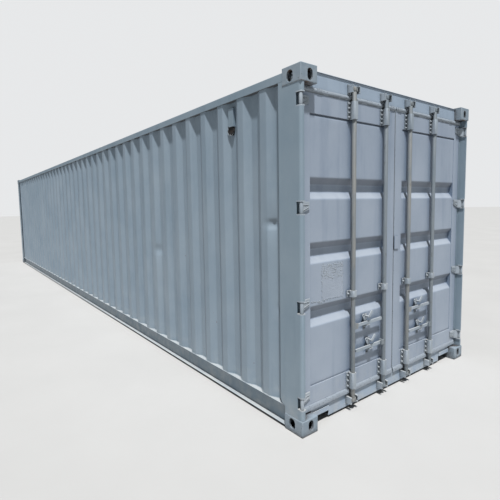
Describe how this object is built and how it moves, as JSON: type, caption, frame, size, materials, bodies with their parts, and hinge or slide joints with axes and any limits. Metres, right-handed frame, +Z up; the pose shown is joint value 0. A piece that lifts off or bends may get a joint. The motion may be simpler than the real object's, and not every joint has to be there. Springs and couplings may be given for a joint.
{
  "type": "freight container",
  "caption": "Long corrugated steel freight container with double end doors, lock bars, lifting handles and cast corner fittings.",
  "frame": {"origin": "on the ground under the middle of the container", "axes": "+X along the length to the door end, +Y to the right wall, +Z up; the left wall is at -Y"},
  "size_m": [12.192, 2.438, 2.591],
  "materials": {
    "paint": "weathered satin",
    "casting": "painted cast steel",
    "door": "weathered satin",
    "hardware": "painted over galvanised steel",
    "bar_tint": "worn galvanised steel",
    "rubber": "painted over rubber",
    "wood": "marine plywood",
    "steel": "bare floor strip"
  },
  "bodies": {
    "container": {"bottom_side_rails": "paint", "cam_keepers": "hardware", "casting_door_lower_left": "casting", "casting_door_lower_right": "casting", "casting_door_upper_left": "casting", "casting_door_upper_right": "casting", "casting_front_lower_left": "casting", "casting_front_lower_right": "casting", "casting_front_upper_left": "casting", "casting_front_upper_right": "casting", "cross_members": "paint", "door_header": "paint", "door_post_left": "paint", "door_post_right": "paint", "door_sill": "paint", "floor_boards": "wood", "floor_strip": "steel", "front_bottom_rail": "paint", "front_post_left": "paint", "front_post_right": "paint", "front_top_rail": "paint", "front_wall": "paint", "hinge_lugs_left": "hardware", "hinge_lugs_right": "hardware", "roof": "paint", "side_vents": "paint", "side_wall_left": "paint", "side_wall_right": "paint", "top_side_rails": "paint", "tunnel_side_members_left": "paint", "tunnel_side_members_right": "paint", "tunnel_sides": "paint", "tunnel_top": "paint"},
    "door_left": {"bar_brackets_left": "hardware", "door_frame_left": "door", "door_panel_left": "door", "door_seal_left": "rubber", "hinge_blades_left": "hardware"},
    "door_right": {"bar_brackets_right": "hardware", "door_cover_plate": "door", "door_frame_right": "door", "door_panel_right": "door", "door_seal_right": "rubber", "hinge_blades_right": "hardware"},
    "catch_1": {"catch_1": "hardware"},
    "catch_2": {"catch_2": "hardware"},
    "catch_3": {"catch_3": "hardware"},
    "catch_4": {"catch_4": "hardware"},
    "handle_1": {"handle_1": "hardware"},
    "handle_2": {"handle_2": "hardware"},
    "handle_3": {"handle_3": "hardware"},
    "handle_4": {"handle_4": "hardware"},
    "lock_bar_1": {"lock_bar_1": "bar_tint"},
    "lock_bar_2": {"lock_bar_2": "hardware"},
    "lock_bar_3": {"lock_bar_3": "bar_tint"},
    "lock_bar_4": {"lock_bar_4": "hardware"}
  },
  "joints": [
    {"name": "door_left_hinge", "type": "hinge", "parent": "container", "child": "door_left", "pos_m": [6.074, -1.197, 1.3], "axis": [0, 0, -1], "range_deg": [0, 260]},
    {"name": "door_right_hinge", "type": "hinge", "parent": "container", "child": "door_right", "pos_m": [6.074, 1.197, 1.3], "axis": [0, 0, 1], "range_deg": [0, 260]},
    {"name": "lock_bar_1_turn", "type": "hinge", "parent": "door_left", "child": "lock_bar_1", "pos_m": [6.06, -0.605, 1.3], "axis": [0, 0, 1], "range_deg": [-100, 0]},
    {"name": "handle_1_lift", "type": "hinge", "parent": "lock_bar_1", "child": "handle_1", "pos_m": [6.06, -0.571, 0.682], "axis": [1, 0, 0], "range_deg": [0, 6]},
    {"name": "catch_1_swing", "type": "hinge", "parent": "door_left", "child": "catch_1", "pos_m": [6.072, -0.415, 0.732], "axis": [-1, 0, 0], "range_deg": [0, 135]},
    {"name": "lock_bar_2_turn", "type": "hinge", "parent": "door_left", "child": "lock_bar_2", "pos_m": [6.06, -0.183, 1.3], "axis": [0, 0, -1], "range_deg": [-100, 0]},
    {"name": "handle_2_lift", "type": "hinge", "parent": "lock_bar_2", "child": "handle_2", "pos_m": [6.06, -0.217, 0.474], "axis": [-1, 0, 0], "range_deg": [0, 6]},
    {"name": "catch_2_swing", "type": "hinge", "parent": "door_left", "child": "catch_2", "pos_m": [6.072, -0.373, 0.524], "axis": [-1, 0, 0], "range_deg": [0, 135]},
    {"name": "lock_bar_3_turn", "type": "hinge", "parent": "door_right", "child": "lock_bar_3", "pos_m": [6.06, 0.183, 1.3], "axis": [0, 0, 1], "range_deg": [-100, 0]},
    {"name": "handle_3_lift", "type": "hinge", "parent": "lock_bar_3", "child": "handle_3", "pos_m": [6.06, 0.217, 0.682], "axis": [1, 0, 0], "range_deg": [0, 6]},
    {"name": "catch_3_swing", "type": "hinge", "parent": "door_right", "child": "catch_3", "pos_m": [6.072, 0.373, 0.732], "axis": [-1, 0, 0], "range_deg": [0, 135]},
    {"name": "lock_bar_4_turn", "type": "hinge", "parent": "door_right", "child": "lock_bar_4", "pos_m": [6.06, 0.605, 1.3], "axis": [0, 0, -1], "range_deg": [-100, 0]},
    {"name": "handle_4_lift", "type": "hinge", "parent": "lock_bar_4", "child": "handle_4", "pos_m": [6.06, 0.571, 0.474], "axis": [-1, 0, 0], "range_deg": [0, 6]},
    {"name": "catch_4_swing", "type": "hinge", "parent": "door_right", "child": "catch_4", "pos_m": [6.072, 0.415, 0.524], "axis": [-1, 0, 0], "range_deg": [0, 135]}
  ]
}
